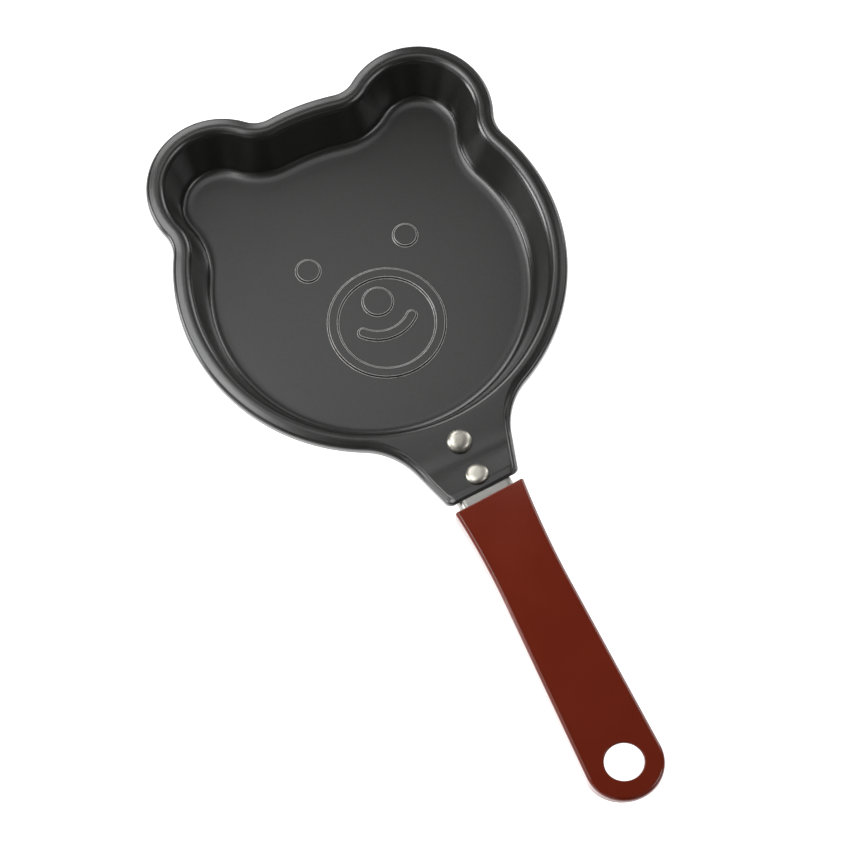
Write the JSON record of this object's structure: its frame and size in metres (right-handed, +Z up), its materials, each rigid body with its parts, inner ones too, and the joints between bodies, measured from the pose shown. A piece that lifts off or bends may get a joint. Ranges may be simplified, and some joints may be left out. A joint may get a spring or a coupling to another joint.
{
  "type": "frying pan",
  "caption": "Small novelty frying pan: coated pressed head with two round ears, riveted steel bracket and lacquered channel grip with a hanging hole.",
  "frame": {"origin": "centre of the pan's round head on its flat underside, at the height of the hob", "axes": "+Z up out of the pan, the handle runs along -Y, +X to the right when the ears point away"},
  "size_m": [0.1279, 0.2739, 0.023],
  "materials": {
    "pan_coating": "dark grey non-stick coating with a faint satin sheen",
    "rivet_metal": "polished",
    "bracket_steel": "faintly brushed",
    "grip_lacquer": "smooth red-brown lacquer, semi-gloss"
  },
  "bodies": {
    "root": {"pan_shell": "pan_coating", "front_rivet": "rivet_metal", "rear_rivet": "rivet_metal", "handle_bracket": "bracket_steel", "grip_shell": "grip_lacquer"}
  },
  "joints": []
}
